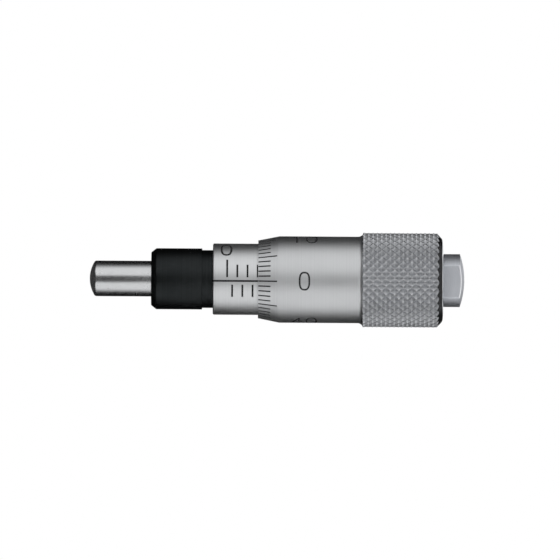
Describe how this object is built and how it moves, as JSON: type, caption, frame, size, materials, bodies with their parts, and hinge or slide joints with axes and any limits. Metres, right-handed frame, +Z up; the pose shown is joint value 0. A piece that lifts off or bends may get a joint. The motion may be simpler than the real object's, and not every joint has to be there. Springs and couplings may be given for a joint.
{
  "type": "micrometer head",
  "caption": "Plain-stem micrometer head: ball-ended spindle, black clamping stem, graduated sleeve and knurled thimble with a flatted cap.",
  "frame": {"origin": "centre of the shoulder, the sleeve's front face that bears on the plate the stem goes through", "axes": "+X along the spindle axis from the shoulder to the thimble, -X towards the spindle's tip, -Y towards the reader of the index line, +Z up"},
  "size_m": [0.0368, 0.0094, 0.0094],
  "materials": {
    "ground_steel": "ground and lapped",
    "black_stem": "satin black oxide",
    "satin_chrome": "satin chrome",
    "nut_steel": "turned",
    "cap_steel": "satin chrome"
  },
  "bodies": {
    "stem": {"stem": "black_stem", "graduated_sleeve": "satin_chrome", "adjusting_nut": "nut_steel"},
    "spindle": {"spindle": "ground_steel"},
    "thimble": {"thimble": "satin_chrome", "cap_screw": "cap_steel"}
  },
  "joints": [
    {"name": "spindle_feed", "type": "slide", "parent": "stem", "child": "spindle", "axis": [1, 0, 0], "range_m": [-0.003, 0.0035]},
    {"name": "thimble_turn", "type": "hinge", "parent": "spindle", "child": "thimble", "pos_m": [0, 0, 0], "axis": [1, 0, 0], "range_deg": [-2161, 2521]}
  ],
  "couplings": [
    {"joint": "thimble_turn", "follows": "spindle_feed", "rad_per_m": 12566}
  ]
}
